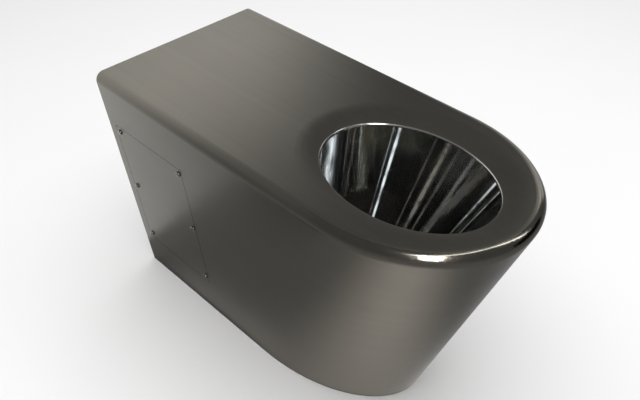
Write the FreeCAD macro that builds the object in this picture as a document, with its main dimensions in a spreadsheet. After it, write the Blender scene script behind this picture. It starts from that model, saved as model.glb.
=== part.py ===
import FreeCAD, Part
import math
import os
import Sketcher
from FreeCAD import Placement, Rotation, Vector

# Long drop toilet pan in sheet steel. The origin is on the floor below the middle of the deck.
# The user faces -Y, the wall is at +Y, and +Z is up. Lengths are in millimetres.

SIZES = [
    ("deck_height", 460, "floor to the top of the deck"),
    ("deck_length", 740, "rear of the deck to the front of its rolled edge"),
    ("deck_width", 350, "across the rolled edges"),
    ("deck_nose", 210, "length of the half oval at the front of the deck"),
    ("edge_radius", 16, "roll of the deck's side and front edges"),
    ("lip_land", 8, "wall below the rolled edge that is still part of the deck"),
    ("toe_setback", 150, "front of the deck's rolled edge to the front of the foot"),
    ("base_width", 268, "across the foot of the side walls"),
    ("base_nose", 240, "length of the half oval at the front of the foot"),
    ("sheet", 1.6, "sheet of the deck, walls, covers and bowl"),
    ("bend_radius", 3, "outside of a folded corner"),
    ("weld_gap", 0.2, "room round a piece that is set in and welded"),
    ("mouth_width", 209, "clear width of the bowl's mouth"),
    ("mouth_length", 287, "clear length of the bowl's mouth"),
    ("mouth_from_front", 202, "front of the deck's rolled edge to the middle of the mouth"),
    ("rim_depth", 15, "top of the deck down to the fold round the mouth"),
    ("rim_margin", 5.5, "least flat deck between the rim's slope and the rolled edge"),
    ("rim_fold", 3, "round of the fold at the mouth"),
    ("rim_land", 3, "straight neck below the fold"),
    ("tube_diameter", 168, "outside of the drop tube"),
    ("tube_setback", 88, "middle of the mouth to the axis of the drop tube"),
    ("tube_height", 150, "floor to the top of the drop tube"),
    ("seal_thickness", 5, "rubber ring on the floor"),
    ("seal_width", 22, "rubber ring, inside edge to outside edge"),
    ("plate_thickness", 3, "base plate"),
    ("plate_tail", 115, "axis of the drop tube to the rear edge of the base plate"),
    ("flange_width", 29, "rear return of a side wall, at the floor"),
    ("wall_hole", 9, "wall anchor hole in a rear return"),
    ("wall_hole_inset", 20, "free edge of the return to the wall anchor holes"),
    ("wall_hole_low", 110, "floor to the lower wall anchor hole"),
    ("wall_hole_pitch", 220, "lower to upper wall anchor hole"),
    ("tie_thickness", 3, "rear tie bar"),
    ("tie_width", 40, "rear tie bar, lower to upper edge"),
    ("tie_low", 38, "floor to the lower edge of the rear tie bar"),
    ("tie_lap", 14, "rear tie bar over each return"),
    ("angle_thickness", 3, "floor angle"),
    ("angle_leg", 35, "floor angle, along the floor"),
    ("angle_rise", 30, "floor angle, up the wall"),
    ("angle_setback", 8, "rear of the pan to the end of a floor angle"),
    ("angle_gap", 17, "rear edge of the base plate to the other end of a floor angle"),
    ("anchor_hole", 11, "floor anchor hole"),
    ("anchor_inset", 20.4, "side wall to the floor anchor holes"),
    ("anchor_end_rear", 52, "rear end of a floor angle to its first anchor hole"),
    ("anchor_end_front", 78, "front end of a floor angle to its second anchor hole"),
    ("channel_depth", 20, "channels under the deck"),
    ("crossbar_width", 24, "channel behind the bowl"),
    ("crossbar_gap", 8, "bowl rim's slope to the channel behind it, and its ends to the deck's roll"),
    ("stiffener_width", 40, "channels under the rear of the deck"),
    ("stiffener_spacing", 170, "between the middles of those channels"),
    ("panel_width", 184, "access panel, along the wall"),
    ("panel_height", 280, "access panel, up the wall"),
    ("panel_from_rear", 24, "rear of the pan to the access panel"),
    ("panel_from_floor", 84, "foot of the wall to the access panel"),
    ("panel_gap", 0.8, "seam round the access panel"),
    ("frame_thickness", 2, "frame behind the access panel"),
    ("frame_lap_wall", 12, "frame behind the wall, past the access hole"),
    ("frame_lap_panel", 18, "frame behind the panel, past its edge"),
    ("screw_inset_side", 8, "panel's front and rear edges to the screws"),
    ("screw_inset_end", 12, "panel's top and bottom edges to the screws"),
    ("screw_hole", 5.5, "screw hole in the panel and the frame"),
    ("screw_shank", 4.8, "screw's thread, outside"),
    ("screw_length", 12, "screw below its head"),
    ("head_diameter", 9.5, "screw's head"),
    ("head_height", 2.8, "screw's head"),
    ("head_round", 2, "dome of the screw's head"),
    ("socket_flats", 3, "hexagon socket in the head"),
    ("socket_depth", 1.5, "hexagon socket in the head"),
    ("nut_flats", 9, "weld nut, across its flats"),
    ("nut_height", 4, "weld nut"),
    ("thread_play", 0.1, "between a screw and its nut, all round"),
]

SCREW_ROWS = 3
RIM_STRAIGHT = 0.57  # share of the rim's spread that its slope takes before its upper edge is rounded
HEXAGON = [math.radians(60 * corner) for corner in range(6)]
CLOSE = 0.01
EDGE_SAMPLES = (0, 0.3, 0.6, 1)

doc = FreeCAD.newDocument("long_drop_pan")
sheet = doc.addObject("Spreadsheet::Sheet", "Sizes")
for row, (alias, number, meaning) in enumerate(SIZES, start=1):
    sheet.set("A%d" % row, meaning)
    sheet.set("B%d" % row, str(number))
    sheet.setAlias("B%d" % row, alias)
doc.recompute()


class Size:
    """A length as its number now and as the expression that gives it from the sheet."""

    def __init__(self, number, words):
        self.number = number
        self.words = words

    def __add__(self, other):
        other = as_size(other)
        return Size(self.number + other.number, "(%s + %s)" % (self.words, other.words))

    def __sub__(self, other):
        other = as_size(other)
        return Size(self.number - other.number, "(%s - %s)" % (self.words, other.words))

    def __mul__(self, other):
        other = as_size(other)
        return Size(self.number * other.number, "(%s * %s)" % (self.words, other.words))

    def __truediv__(self, other):
        other = as_size(other)
        return Size(self.number / other.number, "(%s / %s)" % (self.words, other.words))

    def __neg__(self):
        return self * -1


def as_size(value):
    return value if isinstance(value, Size) else Size(float(value), "(%.9f)" % value)


def root(size):
    return Size(math.sqrt(size.number), "sqrt(%s)" % size.words)


def least(first, second):
    return Size(min(first.number, second.number), "min(%s; %s)" % (first.words, second.words))


def lean_angle(slope):
    return Size(math.degrees(math.atan(slope.number)), "atan(%s)" % slope.words)


class Cells:
    """Each size of the sheet, by its name."""

    def __getattr__(self, alias):
        return Size(float(sheet.get(alias)), "Sizes." + alias)


size = Cells()


# The pan's outer skin is straight from the foot up to a top outline, which the rolled edge then rounds.
# The rolled edge takes a little off that outline, so the outline stands that much outside the deck's size.

def outside_roll(slope):
    return size.edge_radius * (slope + root(slope * slope + 1) - 1)


rise = size.deck_height - size.edge_radius
rear = size.deck_length / 2
side_slope = (size.deck_width - size.base_width) / 2 / rise
front_slope = size.toe_setback / rise


class Outline:
    """The skin's outline at one height: half width, length of the half oval and where the oval starts."""

    def __init__(self, half, nose, start):
        self.half = half
        self.nose = nose
        self.start = start

    def inside(self, wall):
        return Outline(self.half - wall, self.nose - wall, self.start)


base = Outline(size.base_width / 2, size.base_nose, size.base_nose + size.toe_setback - rear)
top_half = size.deck_width / 2 + outside_roll(side_slope)
top = Outline(top_half, size.deck_nose, size.deck_nose - rear - outside_roll(front_slope))


def outline_at(height):
    share = height / size.deck_height
    half = base.half + (top.half - base.half) * share
    nose = base.nose + (top.nose - base.nose) * share
    return Outline(half, nose, base.start + (top.start - base.start) * share)


lean = (top.half - base.half) / size.deck_height
seam_height = size.deck_height - size.edge_radius - size.lip_land
under_deck = size.deck_height - size.sheet
mouth_y = size.mouth_from_front - rear
tube_y = mouth_y + size.tube_setback
plate_rear = tube_y + size.plate_tail
fold_height = size.deck_height - size.rim_depth
neck_height = fold_height - size.rim_land


# The deck slopes down to a fold round the bowl's mouth. A large round joins the slope to the flat deck.

room_front = size.mouth_from_front - size.mouth_length / 2
room_side = (size.deck_width - size.mouth_width) / 2
rim_spread = least(room_front, room_side) - size.edge_radius - size.rim_margin
rim_reach = rim_spread * RIM_STRAIGHT
rim_slope = size.rim_depth / rim_reach
rim_length = root(rim_slope * rim_slope + 1)
rim_round = (rim_spread - rim_reach) * rim_slope / (rim_length - 1)
rim_drop = size.sheet * rim_length


def under_rim(height):
    """How far outside the mouth the slope's underside is at one height."""
    return (height - fold_height + rim_drop) / rim_slope


# Sketches

def bind(owner, path, value):
    owner.setExpression(path, as_size(value).words)


def sketch_on(body, name, role, offset=0):
    """A sketch on one of the body's own planes, moved along the plane's normal."""
    sketch = body.newObject("Sketcher::SketchObject", name)
    plane = next(feature for feature in body.Origin.OriginFeatures if feature.Role == role)
    sketch.AttachmentSupport = [(plane, "")]
    sketch.MapMode = "FlatFace"
    sketch.AttachmentOffset = Placement(Vector(0, 0, as_size(offset).number), Rotation())
    bind(sketch, "AttachmentOffset.Base.z", offset)
    return sketch


def dimension(sketch, kind, *place_and_value):
    *place, value = place_and_value
    index = sketch.addConstraint(Sketcher.Constraint(kind, *place, as_size(value).number))
    bind(sketch, "Constraints[%d]" % index, value)


def place_point(sketch, edge, end, x, y):
    """Holds one point of an edge at x, y from the sketch's origin. A plain 0 keeps it on the axis."""
    for kind, axis, value in (("DistanceX", -2, x), ("DistanceY", -1, y)):
        if isinstance(value, Size):
            dimension(sketch, kind, -1, 1, edge, end, value)
        else:
            sketch.addConstraint(Sketcher.Constraint("PointOnObject", edge, end, axis))


def polygon(sketch, corners):
    points = [Vector(as_size(x).number, as_size(y).number, 0) for x, y in corners]
    following = points[1:] + points[:1]
    edges = [sketch.addGeometry(Part.LineSegment(a, b), False) for a, b in zip(points, following)]
    for edge, after in zip(edges, edges[1:] + edges[:1]):
        sketch.addConstraint(Sketcher.Constraint("Coincident", edge, 2, after, 1))
    for edge, (x, y) in zip(edges, corners):
        place_point(sketch, edge, 1, x, y)


def rectangle(sketch, x_low, x_high, y_low, y_high):
    polygon(sketch, [(x_low, y_low), (x_high, y_low), (x_high, y_high), (x_low, y_high)])


def hexagon(sketch, x, y, flats):
    reach = flats / math.sqrt(3)
    polygon(sketch, [(x + reach * math.cos(turn), y + reach * math.sin(turn)) for turn in HEXAGON])


def circle(sketch, x, y, diameter):
    middle = Vector(as_size(x).number, as_size(y).number, 0)
    edge = sketch.addGeometry(Part.Circle(middle, Vector(0, 0, 1), diameter.number / 2), False)
    place_point(sketch, edge, 3, x, y)
    dimension(sketch, "Diameter", edge, diameter)


def ellipse_axes(half_x, half_y, y):
    """An ellipse on the Y axis, and whether its long axis lies along Y."""
    middle = Vector(0, y.number, 0)
    along_y = half_y.number >= half_x.number
    end_x = Vector(-half_x.number if along_y else half_x.number, y.number, 0)
    end_y = Vector(0, y.number + half_y.number, 0)
    return Part.Ellipse(end_y, end_x, middle) if along_y else Part.Ellipse(end_x, end_y, middle), along_y


def hold_ellipse(sketch, edge, half_x, half_y, y, along_y):
    """Holds an ellipse, or an arc of one, by its centre and by its two axes."""
    first = sketch.GeometryCount
    sketch.exposeInternalGeometry(edge)
    line_y, line_x = (first, first + 1) if along_y else (first + 1, first)
    place_point(sketch, edge, 3, 0, y)
    sketch.addConstraint(Sketcher.Constraint("Vertical", line_y))
    dimension(sketch, "Distance", line_y, half_y * 2)
    dimension(sketch, "Distance", line_x, half_x * 2)


def ellipse(sketch, half_x, half_y, y):
    curve, along_y = ellipse_axes(half_x, half_y, y)
    edge = sketch.addGeometry(curve, False)
    hold_ellipse(sketch, edge, half_x, half_y, y, along_y)


def nose_outline(sketch, outline, back=None):
    """The half oval of an outline, closed by its chord or by straight sides to a back line."""
    curve, along_y = ellipse_axes(outline.half, outline.nose, outline.start)
    turn = math.pi / 2 if along_y else math.pi
    arc = Part.ArcOfEllipse(curve, turn, turn + math.pi)
    left, right = arc.StartPoint, arc.EndPoint
    edge = sketch.addGeometry(arc, False)
    path = [right, left]
    if back is not None:
        path = [right, Vector(right.x, back.number, 0), Vector(left.x, back.number, 0), left]
    lines = [sketch.addGeometry(Part.LineSegment(a, b), False) for a, b in zip(path, path[1:])]
    for here, after in zip([edge] + lines, lines + [edge]):
        sketch.addConstraint(Sketcher.Constraint("Coincident", here, 2, after, 1))
    hold_ellipse(sketch, edge, outline.half, outline.nose, outline.start, along_y)
    for end in (1, 2):
        sketch.addConstraint(Sketcher.Constraint("Horizontal", edge, end, edge, 3))
    if back is not None:
        right_side, across, left_side = lines
        for side in (right_side, left_side):
            sketch.addConstraint(Sketcher.Constraint("Vertical", side))
        sketch.addConstraint(Sketcher.Constraint("Horizontal", across))
        dimension(sketch, "DistanceY", -1, 1, right_side, 2, back)


# Features

def new_body(name):
    return doc.addObject("PartDesign::Body", name)


def pad(body, sketch, length, backward=False):
    feature = body.newObject("PartDesign::Pad", sketch.Name + "_pad")
    feature.Profile = sketch
    feature.Reversed = backward
    bind(feature, "Length", length)
    doc.recompute()


def pocket(body, sketch, length, backward=False):
    before = body.Shape.Volume
    feature = body.newObject("PartDesign::Pocket", sketch.Name + "_pocket")
    feature.Profile = sketch
    feature.Reversed = backward
    bind(feature, "Length", length)
    doc.recompute()
    if not body.Shape.Volume < before:
        raise RuntimeError(feature.Name + " cuts nothing")


def loft(body, kind, profile, section):
    feature = body.newObject("PartDesign::" + kind, profile.Name + "_loft")
    feature.Profile = profile
    feature.Sections = [section]
    feature.Ruled = True
    doc.recompute()


def fillet(body, name, radius, wanted):
    """Rounds each edge of the body whose points, taken along it, are wanted."""
    last = body.Tip
    names = []
    for index, edge in enumerate(last.Shape.Edges, start=1):
        span = edge.LastParameter - edge.FirstParameter
        points = [edge.valueAt(edge.FirstParameter + span * share) for share in EDGE_SAMPLES]
        if wanted(points):
            names.append("Edge%d" % index)
    if not names:
        raise RuntimeError(name + " finds no edge")
    feature = body.newObject("PartDesign::Fillet", name)
    feature.Base = (last, names)
    bind(feature, "Radius", radius)
    doc.recompute()


def cut_away(body, name, core):
    """Takes another body's solid out of this one."""
    feature = body.newObject("PartDesign::Boolean", name)
    feature.Type = "Cut"
    feature.setObjects([core])
    doc.recompute()


def all_near(values, length):
    return all(abs(value - length.number) < CLOSE for value in values)


def mirrored(source, name):
    """The same piece on the pan's other side."""
    feature = doc.addObject("Part::Mirroring", name)
    feature.Source = source
    feature.Base = Vector(0, 0, 0)
    feature.Normal = Vector(1, 0, 0)
    return feature


# Deck with its rolled edge, its rear lip and the sloping rim of the bowl's mouth

def edge_roll(body, name, radius, height, back):
    """Rounds the side and front edges at one height, and leaves the straight one along the back."""
    fillet(body, name, radius, lambda points: all_near([p.z for p in points], height)
           and not all_near([p.y for p in points], back))


def rear_bend(body, name, radius, back):
    """Rounds the edges of the rear face, apart from the one along the seam."""
    fillet(body, name, radius, lambda points: all_near([p.y for p in points], back)
           and not all_near([p.z for p in points], seam_height))


def rim_bend(body, name, radius, height, reach):
    """Rounds the edge at one height that runs round the mouth at a reach outside it."""
    half_x = size.mouth_width / 2 + reach
    half_y = size.mouth_length / 2 + reach

    def on_oval(point):
        across = point.x / half_x.number
        along = (point.y - mouth_y.number) / half_y.number
        return abs(math.hypot(across, along) - 1) < CLOSE

    fillet(body, name, radius, lambda points: all_near([p.z for p in points], height)
           and all(on_oval(p) for p in points))


def rim_oval(body, name, height, reach):
    """The mouth's oval at one height, set out by a reach."""
    sketch = sketch_on(body, name, "XY_Plane", height)
    ellipse(sketch, size.mouth_width / 2 + reach, size.mouth_length / 2 + reach, mouth_y)
    return sketch


def rolled_block(name, height, wall):
    """The deck as a solid block with a rolled edge and a bent rear, set in from the skin by a wall."""
    body = new_body(name)
    upper = sketch_on(body, name + "_top", "XY_Plane", height)
    nose_outline(upper, outline_at(height).inside(wall), rear - wall)
    lower = sketch_on(body, name + "_seam", "XY_Plane", seam_height)
    nose_outline(lower, outline_at(seam_height).inside(wall), rear - wall)
    loft(body, "AdditiveLoft", upper, lower)
    edge_roll(body, name + "_roll", size.edge_radius - wall, height, rear - wall)
    rear_bend(body, name + "_bend", size.bend_radius - wall, rear - wall)
    return body


def make_top_deck():
    body = rolled_block("top_deck", size.deck_height, 0)
    cut_away(body, "deck_hollow", rolled_block("deck_core", under_deck, size.sheet))

    mid_sheet = size.deck_height - size.sheet / 2
    fold_under = fold_height + size.sheet * rim_slope - rim_drop
    loft(body, "AdditiveLoft", rim_oval(body, "rim_under", mid_sheet, under_rim(mid_sheet)),
         rim_oval(body, "rim_fold_outside", fold_under, size.sheet))
    pad(body, rim_oval(body, "rim_neck", neck_height, size.sheet), mid_sheet - neck_height)
    loft(body, "SubtractiveLoft", rim_oval(body, "rim_top", size.deck_height, rim_reach),
         rim_oval(body, "rim_fold_inside", fold_height, 0))
    pocket(body, rim_oval(body, "rim_mouth", size.deck_height, 0), size.deck_height - neck_height)
    rim_bend(body, "rim_round_under", rim_round - size.sheet, under_deck, under_rim(under_deck))
    rim_bend(body, "rim_round_top", rim_round, size.deck_height, rim_reach)
    rim_bend(body, "rim_fold_under", size.rim_fold - size.sheet, fold_under, size.sheet)
    rim_bend(body, "rim_fold_top", size.rim_fold, fold_height, 0)
    return body


# Walls

def make_front_nose():
    body = new_body("front_nose")
    for part, kind, wall in (("skin", "AdditiveLoft", 0), ("core", "SubtractiveLoft", size.sheet)):
        high = sketch_on(body, "nose_%s_high" % part, "XY_Plane", seam_height)
        nose_outline(high, outline_at(seam_height).inside(wall))
        low = sketch_on(body, "nose_%s_low" % part, "XY_Plane")
        nose_outline(low, base.inside(wall))
        loft(body, kind, high, low)
    return body


def on_left_wall(body, name):
    """A sketch on the outer face of the left wall: its x is the pan's Y, and its y goes up the wall."""
    sketch = sketch_on(body, name, "YZ_Plane", -base.half)
    tilt = Rotation(Vector(1, 0, 0), -lean_angle(lean).number)
    sketch.AttachmentOffset = Placement(sketch.AttachmentOffset.Base, tilt)
    bind(sketch, "AttachmentOffset.Rotation.Angle", -lean_angle(lean))
    return sketch


def on_left_fold(points, depth):
    """Whether points lie on the left wall's upright fold line, set in by a depth from both its faces."""
    across = [p.x + lean.number * p.z for p in points]
    return all_near(across, depth - base.half) and all_near([p.y for p in points], rear - depth)


def make_left_side_wall():
    body = new_body("left_side_wall")
    strips = []
    for part, outline, height in (("high", outline_at(seam_height), seam_height), ("low", base, 0)):
        strip = sketch_on(body, "wall_" + part, "XY_Plane", height)
        rectangle(strip, -outline.half, size.sheet - outline.half, outline.start, rear)
        strips.append(strip)
    loft(body, "AdditiveLoft", *strips)

    free_edge = size.flange_width - base.half
    high_half = outline_at(seam_height).half
    flange = sketch_on(body, "wall_return", "XZ_Plane", -rear)
    polygon(flange, [(-base.half, 0), (free_edge, 0), (free_edge, seam_height), (-high_half, seam_height)])
    pad(body, flange, size.sheet)
    fillet(body, "wall_bend", size.bend_radius, lambda points: on_left_fold(points, as_size(0)))
    fillet(body, "wall_bend_inside", size.bend_radius - size.sheet,
           lambda points: on_left_fold(points, size.sheet))

    hole = on_left_wall(body, "wall_access_hole")
    rectangle(hole, panel_front - size.panel_gap, panel_rear + size.panel_gap,
              panel_low - size.panel_gap, panel_high + size.panel_gap)
    pocket(body, hole, size.sheet, backward=True)

    anchors = sketch_on(body, "wall_anchor_holes", "XZ_Plane", -rear)
    for height in (size.wall_hole_low, size.wall_hole_low + size.wall_hole_pitch):
        circle(anchors, free_edge - size.wall_hole_inset, height, size.wall_hole)
    pocket(body, anchors, size.sheet, backward=True)
    return body


# Access panel and what holds it. These bodies lean with the wall: their X goes in through the wall.

panel_rear = rear - size.panel_from_rear
panel_front = panel_rear - size.panel_width
panel_low = size.panel_from_floor
panel_high = panel_low + size.panel_height


def screw_places():
    low = panel_low + size.screw_inset_end
    pitch = (size.panel_height - size.screw_inset_end * 2) / (SCREW_ROWS - 1)
    columns = (panel_rear - size.screw_inset_side, panel_front + size.screw_inset_side)
    return [(column, low + pitch * row) for column in columns for row in range(SCREW_ROWS)]


def leaning_body(name):
    body = new_body(name)
    tilt = Rotation(Vector(0, 1, 0), -lean_angle(lean).number)
    body.Placement = Placement(Vector(-base.half.number, 0, 0), tilt)
    bind(body, "Placement.Base.x", -base.half)
    bind(body, "Placement.Rotation.Angle", -lean_angle(lean))
    return body


def make_left_access_panel():
    body = leaning_body("left_access_panel")
    cover = sketch_on(body, "panel_cover", "YZ_Plane")
    rectangle(cover, panel_front, panel_rear, panel_low, panel_high)
    for y, z in screw_places():
        circle(cover, y, z, size.screw_hole)
    pad(body, cover, size.sheet)
    return body


def make_left_panel_frame():
    body = leaning_body("left_panel_frame")
    ring = sketch_on(body, "frame_ring", "YZ_Plane", size.sheet)
    out = size.panel_gap + size.frame_lap_wall
    rectangle(ring, panel_front - out, panel_rear + out, panel_low - out, panel_high + out)
    into = size.frame_lap_panel
    rectangle(ring, panel_front + into, panel_rear - into, panel_low + into, panel_high - into)
    for y, z in screw_places():
        circle(ring, y, z, size.screw_hole)
    pad(body, ring, size.frame_thickness)
    return body


def make_left_panel_nuts():
    body = leaning_body("left_panel_nuts")
    nuts = sketch_on(body, "nut_hexagons", "YZ_Plane", size.sheet + size.frame_thickness)
    for y, z in screw_places():
        hexagon(nuts, y, z, size.nut_flats)
        circle(nuts, y, z, size.screw_shank + size.thread_play * 2)
    pad(body, nuts, size.nut_height)
    return body


def make_left_panel_screws():
    body = leaning_body("left_panel_screws")
    shanks = sketch_on(body, "screw_shanks", "YZ_Plane")
    heads = sketch_on(body, "screw_heads", "YZ_Plane")
    sockets = sketch_on(body, "screw_sockets", "YZ_Plane", -size.head_height)
    for y, z in screw_places():
        circle(heads, y, z, size.head_diameter)
        circle(shanks, y, z, size.screw_shank)
        hexagon(sockets, y, z, size.socket_flats)
    pad(body, heads, size.head_height, backward=True)
    pad(body, shanks, size.screw_length)
    fillet(body, "screw_domes", size.head_round,
           lambda points: all_near([p.x for p in points], -size.head_height))
    pocket(body, sockets, size.socket_depth, backward=True)
    return body


# Bowl and outlet

def make_bowl_cone():
    """A tapering chute from the rim's oval neck to the round drop tube, as one loft cut by another."""
    long_axis_along_y = size.mouth_length.number >= size.mouth_width.number
    turn = Rotation(Vector(0, 0, 1), 90 if long_axis_along_y else 0)
    solids = []
    for part, wall in (("skin", size.sheet), ("core", as_size(0))):
        half_axes = [size.mouth_width / 2 + wall, size.mouth_length / 2 + wall]
        short, long = half_axes if long_axis_along_y else half_axes[::-1]
        oval = doc.addObject("Part::Ellipse", "cone_%s_oval" % part)
        oval.Placement = Placement(Vector(0, mouth_y.number, neck_height.number), turn)
        bind(oval, "Placement.Base.y", mouth_y)
        bind(oval, "Placement.Base.z", neck_height)
        oval.MajorRadius = long.number
        oval.MinorRadius = short.number
        bind(oval, "MajorRadius", long)
        bind(oval, "MinorRadius", short)
        ring = doc.addObject("Part::Circle", "cone_%s_ring" % part)
        ring.Placement = Placement(Vector(0, tube_y.number, size.tube_height.number), turn)
        bind(ring, "Placement.Base.y", tube_y)
        bind(ring, "Placement.Base.z", size.tube_height)
        bind(ring, "Radius", size.tube_diameter / 2 - size.sheet + wall)
        solid = doc.addObject("Part::Loft", "cone_%s_loft" % part)
        solid.Sections = [oval, ring]
        solid.Solid = True
        solid.Ruled = True
        solids.append(solid)
    cone = doc.addObject("Part::Cut", "bowl_cone")
    cone.Base, cone.Tool = solids
    return cone


def make_ring(name, height, inside, outside, length):
    """A round ring about the axis of the drop tube."""
    body = new_body(name)
    ring = sketch_on(body, name + "_ring", "XY_Plane", height)
    circle(ring, 0, tube_y, outside)
    circle(ring, 0, tube_y, inside)
    pad(body, ring, length)
    return body


def make_drop_tube():
    inside = size.tube_diameter - size.sheet * 2
    return make_ring("drop_tube", 0, inside, size.tube_diameter, size.tube_height)


def make_outlet_seal():
    inside = size.tube_diameter + size.weld_gap * 2
    return make_ring("outlet_seal", 0, inside, inside + size.seal_width * 2, size.seal_thickness)


def make_base_plate():
    body = new_body("base_plate")
    plate = sketch_on(body, "plate_outline", "XY_Plane", size.seal_thickness)
    foot = outline_at(size.seal_thickness).inside(size.sheet + size.weld_gap)
    nose_outline(plate, foot, plate_rear)
    circle(plate, 0, tube_y, size.tube_diameter + size.weld_gap * 2)
    pad(body, plate, size.plate_thickness)
    return body


# Floor angles, tie bar and channels

def make_left_floor_angle():
    body = new_body("left_floor_angle")
    rear_end = rear - size.angle_setback
    front_end = plate_rear + size.angle_gap
    section = sketch_on(body, "angle_section", "XZ_Plane", -rear_end)
    foot = base.half - size.sheet - size.weld_gap
    head = foot + lean * size.angle_rise
    elbow = foot + lean * size.angle_thickness - size.angle_thickness
    polygon(section, [(-foot, 0), (-head, size.angle_rise), (size.angle_thickness - head, size.angle_rise),
                      (-elbow, size.angle_thickness), (size.angle_leg - foot, size.angle_thickness),
                      (size.angle_leg - foot, 0)])
    pad(body, section, rear_end - front_end)
    holes = sketch_on(body, "angle_holes", "XY_Plane", size.angle_thickness)
    for y in (rear_end - size.anchor_end_rear, front_end + size.anchor_end_front):
        circle(holes, size.sheet + size.anchor_inset - base.half, y, size.anchor_hole)
    pocket(body, holes, size.angle_thickness)
    return body


def make_rear_tie_bar():
    body = new_body("rear_tie_bar")
    bar = sketch_on(body, "tie_outline", "XZ_Plane", size.sheet - rear)
    half = base.half - size.flange_width + size.tie_lap
    rectangle(bar, -half, half, size.tie_low, size.tie_low + size.tie_width)
    pad(body, bar, size.tie_thickness)
    return body


def channel_section(sketch, middle, width):
    """A channel against the deck's underside, open upwards."""
    low = under_deck - size.channel_depth
    left, right = middle - width / 2, middle + width / 2
    polygon(sketch, [(left, under_deck), (left, low), (right, low), (right, under_deck),
                     (right - size.sheet, under_deck), (right - size.sheet, low + size.sheet),
                     (left + size.sheet, low + size.sheet), (left + size.sheet, under_deck)])


crossbar_front = mouth_y + size.mouth_length / 2 + rim_spread + size.crossbar_gap


def make_bowl_crossbar():
    body = new_body("bowl_crossbar")
    half = size.deck_width / 2 - size.edge_radius - size.crossbar_gap
    section = sketch_on(body, "crossbar_section", "YZ_Plane", -half)
    channel_section(section, crossbar_front + size.crossbar_width / 2, size.crossbar_width)
    pad(body, section, half * 2)
    return body


def make_left_deck_stiffener():
    body = new_body("left_deck_stiffener")
    end = rear - size.sheet - size.bend_radius
    section = sketch_on(body, "stiffener_section", "XZ_Plane", -end)
    channel_section(section, size.stiffener_spacing / -2, size.stiffener_width)
    pad(body, section, end - crossbar_front - size.crossbar_width)
    return body


# Whole pan

single_pieces = [
    make_top_deck(),
    make_front_nose(),
    make_bowl_cone(),
    make_drop_tube(),
    make_outlet_seal(),
    make_base_plate(),
    make_rear_tie_bar(),
    make_bowl_crossbar(),
]
left_pieces = [
    make_left_side_wall(),
    make_left_access_panel(),
    make_left_panel_frame(),
    make_left_panel_nuts(),
    make_left_panel_screws(),
    make_left_floor_angle(),
    make_left_deck_stiffener(),
]
right_pieces = [mirrored(piece, piece.Label.replace("left", "right")) for piece in left_pieces]
doc.recompute()

for item in doc.Objects:
    if "Invalid" in item.State or "Error" in item.State:
        raise RuntimeError("%s failed: %s" % (item.Label, item.State))

pieces = single_pieces + left_pieces + right_pieces
for piece in pieces:
    if piece.Shape.isNull() or not piece.Shape.isValid():
        raise RuntimeError("%s has no valid shape" % piece.Label)

os.makedirs("parts", exist_ok=True)
for piece in pieces:
    piece.Shape.exportStep("parts/%s.step" % piece.Label)
    box = piece.Shape.optimalBoundingBox()
    print("%-20s %2d solids %10.0f mm3  x %.1f %.1f  y %.1f %.1f  z %.1f %.1f" % (
        piece.Label, len(piece.Shape.Solids), piece.Shape.Volume,
        box.XMin, box.XMax, box.YMin, box.YMax, box.ZMin, box.ZMax))
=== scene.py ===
import math
from collections import namedtuple

import bmesh
import bpy
from mathutils import Matrix, Vector


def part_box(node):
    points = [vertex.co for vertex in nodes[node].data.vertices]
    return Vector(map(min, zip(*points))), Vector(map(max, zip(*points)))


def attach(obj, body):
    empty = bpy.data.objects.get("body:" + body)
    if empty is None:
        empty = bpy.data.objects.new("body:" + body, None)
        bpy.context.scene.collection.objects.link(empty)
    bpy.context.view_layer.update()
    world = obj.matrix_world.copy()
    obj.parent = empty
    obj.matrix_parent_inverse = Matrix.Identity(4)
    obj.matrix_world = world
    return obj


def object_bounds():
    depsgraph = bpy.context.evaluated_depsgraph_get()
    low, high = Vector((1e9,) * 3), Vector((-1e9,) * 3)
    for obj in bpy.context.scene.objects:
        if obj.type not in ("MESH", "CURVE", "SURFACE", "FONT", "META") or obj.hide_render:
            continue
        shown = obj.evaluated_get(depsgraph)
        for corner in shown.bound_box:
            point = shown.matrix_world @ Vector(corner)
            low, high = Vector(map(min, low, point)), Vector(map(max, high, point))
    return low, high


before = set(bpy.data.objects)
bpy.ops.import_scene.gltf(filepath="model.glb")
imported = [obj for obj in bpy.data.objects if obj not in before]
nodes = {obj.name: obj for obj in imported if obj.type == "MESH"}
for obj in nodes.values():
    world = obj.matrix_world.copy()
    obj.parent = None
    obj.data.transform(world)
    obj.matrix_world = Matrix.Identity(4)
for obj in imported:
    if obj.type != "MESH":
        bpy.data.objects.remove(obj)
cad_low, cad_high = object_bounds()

# Long drop pan in stainless steel: satin skin, mirror-polished chute, dull steel behind the covers.
# Lengths are in metres, in the part's own frame: -Y is the front, +Y the wall, +Z is up.

SIDES = ("left", "right")


def both(piece):
    return ["%s_%s" % (side, piece) for side in SIDES]


SKIN = ["top_deck", "front_nose", *both("side_wall"), *both("access_panel"), *both("panel_screws")]
CHUTE = ["bowl_cone", "drop_tube"]


# Node helpers

def add(tree, kind, settings=None, **inputs):
    """A node with its settings, and its inputs set to values or linked to other sockets."""
    node = tree.nodes.new(kind)
    for name, value in (settings or {}).items():
        setattr(node, name, value)
    for name, value in inputs.items():
        plug(tree, node.inputs[name.replace("_", " ")], value)
    return node


def plug(tree, socket, value):
    if isinstance(value, bpy.types.NodeSocket):
        tree.links.new(value, socket)
    else:
        socket.default_value = value


def maths(tree, operation, first, second=0.0, third=0.0):
    node = add(tree, "ShaderNodeMath", {"operation": operation})
    for socket, value in zip(node.inputs, (first, second, third)):
        plug(tree, socket, value)
    return node.outputs[0]


def product(tree, value, *others):
    for other in others:
        value = maths(tree, "MULTIPLY", value, other)
    return value


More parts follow.
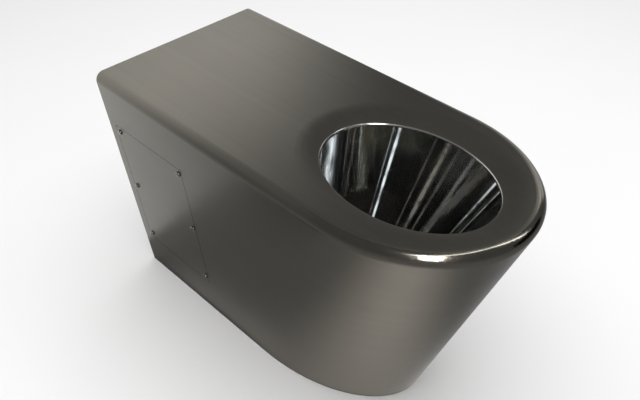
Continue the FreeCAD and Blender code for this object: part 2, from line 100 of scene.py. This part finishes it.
def vector_maths(tree, operation, first, second=(0.0, 0.0, 0.0)):
    node = add(tree, "ShaderNodeVectorMath", {"operation": operation})
    plug(tree, node.inputs[0], first)
    plug(tree, node.inputs[1], second)
    return node.outputs["Value" if operation in ("DISTANCE", "DOT_PRODUCT", "LENGTH") else "Vector"]


def stretched(tree, vector, stretch):
    return vector_maths(tree, "MULTIPLY", vector, stretch)


def axes_of(tree, vector):
    return add(tree, "ShaderNodeSeparateXYZ", None, Vector=vector).outputs


def ramp(tree, value, low, high, to_low=0.0, to_high=1.0):
    """A value moved smoothly from one range to another."""
    node = add(tree, "ShaderNodeMapRange", {"interpolation_type": "SMOOTHSTEP"}, Value=value)
    for name, number in (("From Min", low), ("From Max", high), ("To Min", to_low), ("To Max", to_high)):
        plug(tree, node.inputs[name], number)
    return node.outputs["Result"]


def between(tree, share, low, high):
    """A value in step with a share: low at 0 and high at 1."""
    return maths(tree, "MULTIPLY_ADD", share, high - low, low)


def blend_colour(tree, share, first, second):
    node = add(tree, "ShaderNodeMix", {"data_type": "RGBA"})
    plug(tree, node.inputs["Factor"], share)
    for socket, value in zip([s for s in node.inputs if s.type == "RGBA"], (first, second)):
        plug(tree, socket, value)
    return next(s for s in node.outputs if s.type == "RGBA")


def noise(tree, vector, scale=1.0, detail=2.0, roughness=0.5):
    node = add(tree, "ShaderNodeTexNoise", None, Vector=vector, Scale=scale, Detail=detail,
               Roughness=roughness)
    return node.outputs["Fac"]


def bump(tree, height, strength, distance):
    node = add(tree, "ShaderNodeBump", None, Height=height, Strength=strength, Distance=distance)
    return node.outputs["Normal"]


def object_place(tree):
    return add(tree, "ShaderNodeTexCoord").outputs["Object"]


def face_normal(tree):
    return add(tree, "ShaderNodeNewGeometry").outputs["Normal"]


def new_group(name, inputs, outputs):
    """A shader node group with named sockets. It gives the tree and the sockets to read from and to fill."""
    tree = bpy.data.node_groups.new(name, "ShaderNodeTree")
    for label, kind, start in inputs:
        socket = tree.interface.new_socket(name=label, in_out="INPUT", socket_type=kind)
        socket.default_value = start
    for label, kind in outputs:
        tree.interface.new_socket(name=label, in_out="OUTPUT", socket_type=kind)
    entry = tree.nodes.new("NodeGroupInput")
    leave = tree.nodes.new("NodeGroupOutput")
    return tree, entry.outputs, leave.inputs


def use_group(tree, group, **inputs):
    return add(tree, "ShaderNodeGroup", {"node_tree": group}, **inputs).outputs


def new_material(name, **constants):
    """A material with one Principled shader, and values that are the same all over set on its own sockets."""
    material = bpy.data.materials.new(name)
    material.use_nodes = True
    tree = material.node_tree
    shader = tree.nodes["Principled BSDF"]
    for label, value in constants.items():
        shader.inputs[label.replace("_", " ")].default_value = value
    return material, tree, shader.inputs


# Effects that several finishes share

def brushed_grain():
    """Long fine scratches. The stretch is large across the grain and small along it."""
    group, given, out = new_group(
        "brushed grain",
        [("Stretch", "NodeSocketVector", (900.0, 8.0, 900.0))],
        [("Lines", "NodeSocketFloat"), ("Bands", "NodeSocketFloat")])
    lines = stretched(group, object_place(group), given["Stretch"])
    plug(group, out["Lines"], noise(group, lines, detail=3.0, roughness=0.6))
    plug(group, out["Bands"], noise(group, lines, scale=0.12))
    return group


def hand_smears():
    """Soft cloudy patches where the steel has been wiped and handled."""
    group, given, out = new_group(
        "hand smears",
        [("Size", "NodeSocketFloat", 9.0)],
        [("Patches", "NodeSocketFloat")])
    wide = noise(group, object_place(group), given["Size"], detail=3.0, roughness=0.55)
    plug(group, out["Patches"], ramp(group, wide, 0.35, 0.68))
    return group


GRAIN = brushed_grain()
SMEARS = hand_smears()


# Colours of the finishes

SATIN_DARK = (0.0570, 0.0536, 0.0466, 1)
SATIN_LIGHT = (0.0658, 0.0619, 0.0533, 1)
EDGE_TINT = (0.6, 0.6, 0.6, 1)
POLISHED = (0.21, 0.207, 0.20, 1)
CHUTE_DARK = (0.34, 0.328, 0.304, 1)
CHUTE_LIGHT = (0.46, 0.456, 0.446, 1)
MILL_DARK = (0.065, 0.063, 0.058, 1)
MILL_LIGHT = (0.105, 0.102, 0.096, 1)
SCREW_DARK = (0.05, 0.049, 0.046, 1)
SCREW_LIGHT = (0.085, 0.083, 0.079, 1)
WELD_STRAW = (0.20, 0.15, 0.08, 1)
WELD_BLUE = (0.08, 0.10, 0.15, 1)
WELD_GREY = (0.20, 0.195, 0.185, 1)
RUBBER_DARK = (0.018, 0.018, 0.019, 1)
RUBBER_LIGHT = (0.045, 0.044, 0.042, 1)

# Sizes of the pan that the finishes follow

MOUTH_Y = -0.168  # middle of the mouth, and of the two ovals round it
POLISH_X = 0.1060  # half sizes of the oval where the polish ends
POLISH_Y = 0.1450
RIM_X = 0.1425  # half sizes of the oval where the sloping rim ends
RIM_Y = 0.1815
CHUTE_TOP = 0.442
CHUTE_DEPTH = 0.292
CHUTE_HALF_X = 0.1045
CHUTE_HALF_Y = 0.1435
OUTLET_Y = -0.080
OUTLET_RADIUS = 0.0824

# Satin of the deck and walls

ALONG_PAN = (900.0, 6.0, 900.0)  # how fine the grain is along each axis
ROUND_PAN = (6.0, 6.0, 900.0)
DECK_ROUGHNESS = 0.33
WALL_ROUGHNESS = 0.32
GRAIN_ADDS = 0.04  # roughness that the grain's lines and the smears add
SMEARS_ADD = 0.03

# Polish and buffing of the deck

POLISH_EDGE = 0.008  # soft edges, as shares of an oval's size
RIM_EDGE = 0.01
ROLL_START = 0.985  # how level the face is where the roll's buffing starts, is full, fades and ends
ROLL_FULL = 0.9
ROLL_FADE = 0.65
ROLL_END = 0.25
BUFF_FULL = -0.24  # the Y where the roll's buffing is full, and where it ends
BUFF_END = -0.06
BUFF_LEAVES = 0.45  # what buffing and polishing leave of the satin's roughness
POLISH_LEAVES = 0.5
RIM_BLUR = 1.25  # how much of straight up is added to the rim's normal

# Polish of the chute

WAVES = (7.0, 7.0, 0.8)  # how fine its marks are across, along and down
FINE_BANDS = (26.0, 26.0, 1.2)
BLOTCHES = (5.0, 5.0, 7.0)
FINE_SHARE = 0.2
MIRROR_ROUGHNESS = 0.08  # between the bands and in them
BAND_ROUGHNESS = 0.48
OUTSIDE_ROUGHNESS = 0.42
# Where the widest bands lie: degrees round from the rear, half width in degrees, and strength
STREAKS = ((53.8, 2.3, 1.0), (49.5, 0.8, 0.5), (-8.0, 14.0, 1.0), (20.0, 2.0, 0.4), (79.0, 1.5, 0.45),
           (88.0, 4.0, 0.7), (96.0, 2.2, 0.5), (108.0, 3.0, 0.45), (134.0, 2.5, 0.7), (143.0, 1.2, 0.8))


# Finishes

def satin_steel(name, stretch, roughness):
    """Brushed stainless steel with its grain along one direction. It gives the tree and shader for more."""
    material, tree, shader = new_material(name, Metallic=1.0, Specular_Tint=EDGE_TINT)
    grain = use_group(tree, GRAIN, Stretch=stretch)
    patches = use_group(tree, SMEARS, Size=7.0)["Patches"]
    tone = maths(tree, "MULTIPLY_ADD", grain["Bands"], 0.5, maths(tree, "MULTIPLY", grain["Lines"], 0.5))
    plug(tree, shader["Base Color"], blend_colour(tree, ramp(tree, tone, 0.2, 0.8), SATIN_DARK, SATIN_LIGHT))
    polish = maths(tree, "MULTIPLY_ADD", grain["Lines"], GRAIN_ADDS, roughness - SMEARS_ADD)
    plug(tree, shader["Roughness"], maths(tree, "MULTIPLY_ADD", patches, SMEARS_ADD, polish))
    plug(tree, shader["Normal"], bump(tree, grain["Lines"], strength=0.04, distance=0.0003))
    return material, tree, shader


def beyond_oval(tree, half_x, half_y, edge):
    """A mask that is 0 inside an oval round the mouth's middle and 1 outside it."""
    spot = vector_maths(tree, "SUBTRACT", object_place(tree), (0.0, MOUTH_Y, 0.0))
    oval = stretched(tree, spot, (1 / half_x, 1 / half_y, 0.0))
    return ramp(tree, vector_maths(tree, "LENGTH", oval), 1 - edge, 1 + edge)


def deck_steel():
    """Satin deck, polished from the mouth's fold down and buffed along the front of its rolled edge."""
    material, tree, shader = satin_steel("satin deck steel", ALONG_PAN, DECK_ROUGHNESS)
    satin = beyond_oval(tree, POLISH_X, POLISH_Y, POLISH_EDGE)
    beyond_rim = beyond_oval(tree, RIM_X, RIM_Y, RIM_EDGE)
    satin_tone = shader["Base Color"].links[0].from_socket
    plug(tree, shader["Base Color"], blend_colour(tree, satin, POLISHED, satin_tone))
    face = face_normal(tree)
    level = axes_of(tree, face)["Z"]
    along = axes_of(tree, object_place(tree))["Y"]
    roll = product(tree, ramp(tree, level, ROLL_START, ROLL_FULL), ramp(tree, level, ROLL_END, ROLL_FADE),
                   beyond_rim, ramp(tree, along, BUFF_END, BUFF_FULL))
    buffed = ramp(tree, roll, 0.0, 1.0, 1.0, BUFF_LEAVES)
    polish = ramp(tree, satin, 0.0, 1.0, POLISH_LEAVES, 1.0)
    satin_roughness = shader["Roughness"].links[0].from_socket
    plug(tree, shader["Roughness"], product(tree, satin_roughness, buffed, polish))
    # The brushing blurs the rim's slope, so that it shows less than a mirror would show it
    on_rim = maths(tree, "SUBTRACT", RIM_BLUR, maths(tree, "MULTIPLY", beyond_rim, RIM_BLUR))
    lift = add(tree, "ShaderNodeCombineXYZ", None, Z=product(tree, satin, on_rim)).outputs["Vector"]
    soft = vector_maths(tree, "NORMALIZE", vector_maths(tree, "ADD", face, lift))
    plug(tree, shader["Normal"].links[0].from_node.inputs["Normal"], soft)
    return material


def round_chute(tree):
    """The way round the chute, as an angle and as a place on a circle, the same all down its slope."""
    axes = axes_of(tree, object_place(tree))
    depth = maths(tree, "DIVIDE", maths(tree, "SUBTRACT", CHUTE_TOP, axes["Z"]), CHUTE_DEPTH)
    half_x = between(tree, depth, CHUTE_HALF_X, OUTLET_RADIUS)
    half_y = between(tree, depth, CHUTE_HALF_Y, OUTLET_RADIUS)
    middle = between(tree, depth, MOUTH_Y, OUTLET_Y)
    across = maths(tree, "DIVIDE", axes["X"], half_x)
    along = maths(tree, "DIVIDE", maths(tree, "SUBTRACT", axes["Y"], middle), half_y)
    spot = add(tree, "ShaderNodeCombineXYZ", None, X=across, Y=along, Z=depth).outputs["Vector"]
    return maths(tree, "ARCTAN2", across, along), spot


def polished_steel():
    """Bright steel polished down its length. The wheel left bands, where lights stretch into streaks."""
    material, tree, shader = new_material("polished chute steel", Metallic=1.0, Anisotropic=1.0,
                                          Anisotropic_Rotation=0.25)
    face = face_normal(tree)
    plug(tree, shader["Tangent"], vector_maths(tree, "CROSS_PRODUCT", face, (0.0, 0.0, 1.0)))
    angle, spot = round_chute(tree)
    waves = noise(tree, stretched(tree, spot, WAVES), detail=3.0, roughness=0.6)
    fine = noise(tree, stretched(tree, spot, FINE_BANDS), roughness=0.6)
    bands = maths(tree, "MULTIPLY", ramp(tree, fine, 0.58, 0.75), FINE_SHARE)
    for degrees, reach, strength in STREAKS:
        off = maths(tree, "ABSOLUTE", maths(tree, "SUBTRACT", angle, math.radians(degrees)))
        streak = ramp(tree, off, math.radians(reach), 0.0, 0.0, strength)
        bands = maths(tree, "MAXIMUM", bands, streak)
    blotches = noise(tree, stretched(tree, spot, BLOTCHES))
    bands = maths(tree, "MULTIPLY", bands, ramp(tree, blotches, 0.3, 0.65, 0.5, 1.0))
    outward = vector_maths(tree, "DOT_PRODUCT", stretched(tree, spot, (1.0, 1.0, 0.0)), face)
    outside = ramp(tree, outward, -0.1, 0.1)
    shine = blend_colour(tree, waves, CHUTE_DARK, CHUTE_LIGHT)
    plug(tree, shader["Base Color"], blend_colour(tree, outside, shine, MILL_LIGHT))
    unpolished = maths(tree, "MULTIPLY", outside, OUTSIDE_ROUGHNESS)
    polish = between(tree, bands, MIRROR_ROUGHNESS, BAND_ROUGHNESS)
    plug(tree, shader["Roughness"], maths(tree, "MAXIMUM", unpolished, polish))
    plug(tree, shader["Normal"], bump(tree, waves, strength=0.10, distance=0.002))
    return material


def dull_steel():
    """Mill-finish steel on the pieces behind the covers."""
    material, tree, shader = new_material("dull mill steel", Metallic=1.0)
    grain = use_group(tree, GRAIN, Stretch=(220.0, 30.0, 220.0))
    patches = use_group(tree, SMEARS, Size=16.0)["Patches"]
    plug(tree, shader["Base Color"], blend_colour(tree, patches, MILL_DARK, MILL_LIGHT))
    rough = between(tree, grain["Bands"], low=0.38, high=0.50)
    plug(tree, shader["Roughness"], maths(tree, "MULTIPLY_ADD", patches, 0.06, rough))
    plug(tree, shader["Normal"], bump(tree, grain["Lines"], strength=0.12, distance=0.0004))
    return material


def screw_steel():
    """Turned steel of the screws and nuts."""
    material, tree, shader = new_material("bright screw steel", Metallic=1.0)
    patches = use_group(tree, SMEARS, Size=260.0)["Patches"]
    plug(tree, shader["Base Color"], blend_colour(tree, patches, SCREW_DARK, SCREW_LIGHT))
    plug(tree, shader["Roughness"], between(tree, patches, low=0.36, high=0.44))
    return material


def weld_steel():
    """Weld metal, with the straw and blue that the heat leaves on it."""
    material, tree, shader = new_material("heat-tinted weld steel", Metallic=1.0)
    place = object_place(tree)
    patches = use_group(tree, SMEARS, Size=60.0)["Patches"]
    heat = blend_colour(tree, noise(tree, place, scale=90.0), WELD_STRAW, WELD_BLUE)
    plug(tree, shader["Base Color"], blend_colour(tree, patches, heat, WELD_GREY))
    plug(tree, shader["Roughness"], between(tree, patches, low=0.28, high=0.40))
    plug(tree, shader["Normal"], bump(tree, noise(tree, place, scale=1400.0), strength=0.1, distance=0.0002))
    return material


def black_rubber():
    """Moulded rubber of the floor seal."""
    material, tree, shader = new_material("black seal rubber")
    patches = use_group(tree, SMEARS, Size=40.0)["Patches"]
    plug(tree, shader["Base Color"], blend_colour(tree, patches, RUBBER_DARK, RUBBER_LIGHT))
    plug(tree, shader["Roughness"], between(tree, patches, low=0.6, high=0.8))
    pores = noise(tree, object_place(tree), scale=900.0)
    plug(tree, shader["Normal"], bump(tree, pores, strength=0.3, distance=0.0003))
    return material


def dress(material, *names):
    for name in names:
        nodes[name].data.materials.clear()
        nodes[name].data.materials.append(material)


dress(deck_steel(), "top_deck")
dress(satin_steel("satin wall steel", ROUND_PAN, WALL_ROUGHNESS)[0], "front_nose", *both("side_wall"),
      *both("access_panel"))
dress(polished_steel(), *CHUTE)
dress(dull_steel(), "base_plate", "rear_tie_bar", "bowl_crossbar", *both("panel_frame"), *both("floor_angle"),
      *both("deck_stiffener"))
dress(screw_steel(), *both("panel_screws"), *both("panel_nuts"))
dress(black_rubber(), "outlet_seal")


# Weld beads on the hidden pieces

WELD = weld_steel()
BEAD_SIDES = 10
RIPPLE_STEP = 0.0008
RIPPLE_TURN = 2.1  # radians of the ripple's wave at each step
RIPPLE_SHARE = 0.13
END_SHARE = 0.3  # how much of a step the taper leaves open at a bead's end
FOOT_BEAD = 0.0022  # radius of each bead
CHUTE_BEAD = 0.0017
SEAM_BEAD = 0.0013
FOOT_OUT = 0.0005  # how far the foot's bead sits off the tube and off the plate
FOOT_UP = 0.0004
TIE_INSET = 0.002
ANGLE_INSET = 0.0012
ANGLE_RUN = 0.04
ANGLE_STARTS = (0.02, 0.135, 0.25)  # along each floor angle


def lay_bead(mesh, line, thick, closed):
    """A round bead along a line of places, rippled like the puddles it was laid in, with tapered ends."""
    rings = []
    count = len(line)
    for i, spot in enumerate(line):
        ahead = line[(i + 1) % count] if closed else line[min(i + 1, count - 1)]
        behind = line[i - 1] if closed else line[max(i - 1, 0)]
        way = (ahead - behind).normalized()
        side = way.cross(Vector((0, 0, 1)) if abs(way.z) < 0.9 else Vector((1, 0, 0))).normalized()
        top = side.cross(way)
        swell = 1.0 + RIPPLE_SHARE * math.sin(i * RIPPLE_TURN)
        if not closed:
            swell *= math.sqrt(min(1.0, (min(i, count - 1 - i) + END_SHARE) * RIPPLE_STEP / thick))
        ring = []
        for k in range(BEAD_SIDES):
            turn = 2 * math.pi * k / BEAD_SIDES
            ring.append(mesh.verts.new(spot + (side * math.cos(turn) + top * math.sin(turn)) * thick * swell))
        rings.append(ring)
    pairs = list(zip(rings, rings[1:]))
    if closed:
        pairs.append((rings[-1], rings[0]))
    for first, second in pairs:
        for k in range(BEAD_SIDES):
            after = (k + 1) % BEAD_SIDES
            mesh.faces.new((first[k], first[after], second[after], second[k]))
    if not closed:
        mesh.faces.new(rings[0][::-1])
        mesh.faces.new(rings[-1])


def make_weld(name, runs, thick, closed=False):
    """One or more runs of weld as a piece that belongs to the pan."""
    mesh = bmesh.new()
    for line in runs:
        lay_bead(mesh, line, thick, closed)
    bmesh.ops.recalc_face_normals(mesh, faces=mesh.faces)
    data = bpy.data.meshes.new(name)
    mesh.to_mesh(data)
    mesh.free()
    data.shade_smooth()
    data.materials.append(WELD)
    piece = bpy.data.objects.new(name, data)
    bpy.context.scene.collection.objects.link(piece)
    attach(piece, "pan")


def ring_line(radius, height):
    """Places round the outlet's axis."""
    steps = int(math.pi * (radius + radius) / RIPPLE_STEP)
    turns = [2 * math.pi * i / steps for i in range(steps)]
    return [Vector((radius * math.cos(t), OUTLET_Y + radius * math.sin(t), height)) for t in turns]


def straight_line(start, end):
    steps = int((end - start).length / RIPPLE_STEP)
    return [start.lerp(end, i / steps) for i in range(steps + 1)]


plate_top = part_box("base_plate")[1].z
tube_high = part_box("drop_tube")[1]
make_weld("tube_foot_weld", [ring_line(tube_high.x + FOOT_OUT, plate_top + FOOT_UP)], FOOT_BEAD, True)
make_weld("chute_weld", [ring_line(tube_high.x, tube_high.z)], CHUTE_BEAD, True)
tie_low, tie_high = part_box("rear_tie_bar")
for side, sign in zip(SIDES, (-1, 1)):
    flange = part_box(side + "_side_wall")
    edge = flange[1].x if sign < 0 else flange[0].x
    tie_run = straight_line(Vector((edge, tie_high.y, tie_low.z + TIE_INSET)),
                            Vector((edge, tie_high.y, tie_high.z - TIE_INSET)))
    make_weld(side + "_tie_weld", [tie_run], SEAM_BEAD)
    angle_low, angle_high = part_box(side + "_floor_angle")
    top = angle_low.x if sign < 0 else angle_high.x
    angle_runs = []
    for start in ANGLE_STARTS:
        begin = Vector((top - sign * ANGLE_INSET, angle_low.y + start, angle_high.z))
        angle_runs.append(straight_line(begin, begin + Vector((0.0, ANGLE_RUN, 0.0))))
    make_weld(side + "_angle_weld", angle_runs, SEAM_BEAD)


# Floor, flags and lamps

FLOOR_REACH = 12.0
FLOOR_DROP = 0.0005
FLOOR_DARK = (0.86, 0.86, 0.86, 1)
FLOOR_LIGHT = (0.88, 0.88, 0.88, 1)
# Painted shade on the floor: a dark disc under the outlet, inside the drop tube, in place of a dark pit
PIT_SHADE_RADIUS = 0.082
PIT_SHADE_EDGE = 0.002
PIT_PAINTED_SHADE = (0.10, 0.094, 0.084, 1)
CLOTH_DARK = (0.01, 0.01, 0.01, 1)
CLOTH_LIGHT = (0.02, 0.02, 0.02, 1)
HORIZON_LEVEL = 0.58
SKY_LEVEL = 0.56
SKY_START = 0.5  # height, as a share of straight up
WHITE = (1.0, 1.0, 1.0)
STRIP_WHITE = (1.0, 0.965, 0.925)
CARD_WHITE = (1.0, 0.955, 0.92)
COOL = (0.80, 0.91, 1.0)
WARM = (1.0, 0.80, 0.48)
CHUTE_MIDDLE = Vector((0.0, -0.12, 0.38))  # where the chute's lamps look, and how far off they are
CHUTE_REACH = 1.9
FORWARD = (0, -1, 0)
UPWARD = (0, 0, 1)
DOWNWARD = (0, 0, -1)

# A lamp's soft edges as shares of its size, and how bright its low edge still is
Fade = namedtuple("Fade", "left right low high low_level")


def placed(centre, facing):
    """The placing of something flat whose front looks one way."""
    return Matrix.Translation(centre) @ Vector(facing).to_track_quat("-Z", "Y").to_matrix().to_4x4()


def flat_sheet(name, half_x, half_y, material):
    corners = [(-half_x, -half_y, 0), (half_x, -half_y, 0), (half_x, half_y, 0), (-half_x, half_y, 0)]
    mesh = bpy.data.meshes.new(name)
    mesh.from_pydata(corners, [], [(0, 1, 2, 3)])
    mesh.materials.append(material)
    sheet = bpy.data.objects.new(name, mesh)
    bpy.context.scene.collection.objects.link(sheet)
    return sheet


def make_floor():
    """A pale floor with painted shade: a dark disc under the pan's outlet that stands in for the dark pit
    below it.
    """
    material, tree, shader = new_material("pale studio floor", Roughness=0.9, Specular_IOR_Level=0.0)
    place = object_place(tree)
    pale = blend_colour(tree, noise(tree, place, scale=3.0), FLOOR_DARK, FLOOR_LIGHT)
    far = vector_maths(tree, "DISTANCE", place, (0.0, OUTLET_Y, 0.0))
    # Painted shade: the floor's colour turns dark inside the disc under the outlet
    outside = ramp(tree, far, PIT_SHADE_RADIUS - PIT_SHADE_EDGE, PIT_SHADE_RADIUS)
    plug(tree, shader["Base Color"], blend_colour(tree, outside, PIT_PAINTED_SHADE, pale))
    floor = flat_sheet("studio_floor", FLOOR_REACH, FLOOR_REACH, material)
    floor.location.z = cad_low.z - FLOOR_DROP


def make_world():
    """A plain studio, hardly brighter at the horizon."""
    world = bpy.data.worlds.new("studio")
    world.use_nodes = True
    tree = world.node_tree
    height = axes_of(tree, add(tree, "ShaderNodeTexCoord").outputs["Generated"])["Z"]
    background = tree.nodes["Background"].inputs
    plug(tree, background["Strength"], ramp(tree, height, 0.0, SKY_START, HORIZON_LEVEL, SKY_LEVEL))
    background["Color"].default_value = (1, 1, 1, 1)
    bpy.context.scene.world = world


def flag_cloth():
    material, tree, shader = new_material("black flag cloth", Roughness=1.0, Specular_IOR_Level=0.0)
    weave = noise(tree, object_place(tree), scale=40.0)
    plug(tree, shader["Base Color"], blend_colour(tree, weave, CLOTH_DARK, CLOTH_LIGHT))
    return material


def make_flag(name, cloth, centre, facing, across, up):
    """A black card that only shows as a dark band in the steel."""
    flag = flat_sheet(name, across / 2, up / 2, cloth)
    flag.matrix_world = placed(centre, facing)
    flag.visible_camera = False
    flag.visible_diffuse = False
    flag.visible_shadow = False


def make_card(name, centre, facing, across, up, radiance, lit=None, tint=WHITE, fade=None, turn=0.0,
              for_floor=False):
    """A flat lamp that shows in the steel, or that lights the floor. It may be kept to some of the nodes."""
    lamp = bpy.data.lights.new(name, "AREA")
    lamp.shape = "RECTANGLE"
    lamp.size = across
    lamp.size_y = up
    lamp.energy = radiance * math.pi * across * up
    lamp.color = tint
    if fade:
        lamp.use_nodes = True
        tree = lamp.node_tree
        axes = axes_of(tree, add(tree, "ShaderNodeNewGeometry").outputs["Parametric"])
        level = product(tree,
                        ramp(tree, axes["X"], 0.0, fade.left),
                        ramp(tree, axes["X"], 1.0, 1.0 - fade.right),
                        ramp(tree, axes["Y"], 0.0, fade.low, fade.low_level),
                        ramp(tree, axes["Y"], 1.0, 1.0 - fade.high))
        plug(tree, tree.nodes["Emission"].inputs["Strength"], level)
    card = bpy.data.objects.new(name, lamp)
    card.matrix_world = placed(centre, facing) @ Matrix.Rotation(turn, 4, "Z")
    card.visible_camera = False
    card.visible_diffuse = for_floor
    card.visible_glossy = not for_floor
    bpy.context.scene.collection.objects.link(card)
    if lit:
        receivers = bpy.data.collections.new(name + "_lights")
        for node in lit:
            receivers.objects.link(nodes[node])
        card.light_linking.receiver_collection = receivers


def chute_card(name, azimuth, elevation, across, up, radiance, tint):
    """A lamp for the chute alone, placed by its direction from the mouth in degrees."""
    turn = math.radians(azimuth)
    rise = math.radians(elevation)
    way = Vector((math.sin(turn) * math.cos(rise), math.cos(turn) * math.cos(rise), math.sin(rise)))
    make_card(name, CHUTE_MIDDLE + way * CHUTE_REACH, -way, across, up, radiance, CHUTE, tint)


make_floor()
make_world()
cloth = flag_cloth()
make_flag("dark_flag", cloth, (1.05, -1.35, 0.62), (-0.72, 0.69, -0.05), across=1.1, up=0.62)
make_flag("floor_flag", cloth, (-0.52, 0.24, 0.004), DOWNWARD, across=0.2, up=0.2)
make_card("ceiling_box", (0.0, -0.2, 2.8), DOWNWARD, across=3.2, up=3.2, radiance=2.2, for_floor=True)
make_card("rear_card", (0.0, 0.42, 0.54), FORWARD, across=1.5, up=1.08, radiance=4.0,
          fade=Fade(left=0.42, right=0.5, low=0.75, high=0.5, low_level=0.5))
make_card("front_strip", (-0.71, -0.945, 1.38), (0.541, 0.438, -0.717), across=0.3, up=1.0, radiance=66.0,
          lit=SKIN, tint=STRIP_WHITE)
make_card("ceiling_strip", (-0.1, -0.88, 2.5), (0, 0.25, -1), across=2.4, up=0.16, radiance=22.0, lit=SKIN)
make_card("window_strip", (0.83, -1.02, 1.53), (-0.69, 0.72, -0.8), across=0.12, up=0.9, radiance=26.0,
          lit=SKIN)
make_card("right_card", (1.6, 0.12, 0.62), (-1, 0, -0.1), across=1.25, up=0.5, radiance=3.0, lit=SKIN)
make_card("roll_card", (1.124, -0.228, 1.005), (-0.886, -0.093, -0.454), across=0.4, up=0.36, radiance=5.0,
          lit=SKIN)
make_card("floor_card", (-0.184, -0.264, 0.002), UPWARD, across=0.6, up=1.0, radiance=2.75, lit=SKIN,
          tint=CARD_WHITE, fade=Fade(left=0.5, right=0.5, low=0.65, high=0.35, low_level=0.0),
          turn=math.radians(225))
make_card("foot_strip", (-0.168, 0.15, 0.002), UPWARD, across=0.066, up=0.46, radiance=0.65, lit=SKIN,
          tint=STRIP_WHITE, fade=Fade(left=0.1, right=0.8, low=0.4, high=0.4, low_level=0.0))
chute_card("chute_strip", -110, 52, across=0.5, up=0.9, radiance=48.0, tint=COOL)
chute_card("chute_rim_strip", -126, 35, across=0.06, up=0.2, radiance=44.0, tint=COOL)
chute_card("chute_lamp", -45, 52, across=0.5, up=0.6, radiance=8.0, tint=WARM)
chute_card("chute_lamp_rear", -27, 42, across=0.12, up=0.3, radiance=40.0, tint=COOL)
chute_card("chute_spot", 5, 32, across=0.2, up=0.3, radiance=52.0, tint=COOL)
chute_card("chute_window", 140, 38, across=0.4, up=0.5, radiance=320.0, tint=COOL)
chute_card("chute_lamp_front", 180, 50, across=0.15, up=0.4, radiance=3.5, tint=WARM)


# Camera at the photograph's angle

CAMERA_PLACE = Vector((-0.6889, -0.6852, 1.1183))
CAMERA_AZIMUTH = math.radians(-44.744)
CAMERA_ELEVATION = math.radians(40.225)
CAMERA_ROLL = math.radians(-0.296)
FOCAL_PIXELS = 759.92
IMAGE_WIDTH = 640


def make_camera():
    lens = bpy.data.cameras.new("photo_camera")
    lens.sensor_width = 36.0
    lens.sensor_fit = "HORIZONTAL"
    lens.lens = FOCAL_PIXELS / IMAGE_WIDTH * lens.sensor_width
    lens.clip_start = 0.05
    lens.clip_end = 60.0
    camera = bpy.data.objects.new("photo_camera", lens)
    back = Vector((math.sin(CAMERA_AZIMUTH) * math.cos(CAMERA_ELEVATION),
                   -math.cos(CAMERA_AZIMUTH) * math.cos(CAMERA_ELEVATION), math.sin(CAMERA_ELEVATION)))
    right = Vector((math.cos(CAMERA_AZIMUTH), math.sin(CAMERA_AZIMUTH), 0))
    up = back.cross(right)
    turn = Matrix((right, up, back)).transposed().to_4x4()
    camera.matrix_world = Matrix.Translation(CAMERA_PLACE) @ turn @ Matrix.Rotation(CAMERA_ROLL, 4, "Z")
    bpy.context.scene.collection.objects.link(camera)
    bpy.context.scene.camera = camera


make_camera()
bpy.context.scene.view_settings.view_transform = "Standard"
# Light goes round the polished chute many times before it leaves
bpy.context.scene.cycles.glossy_bounces = 12
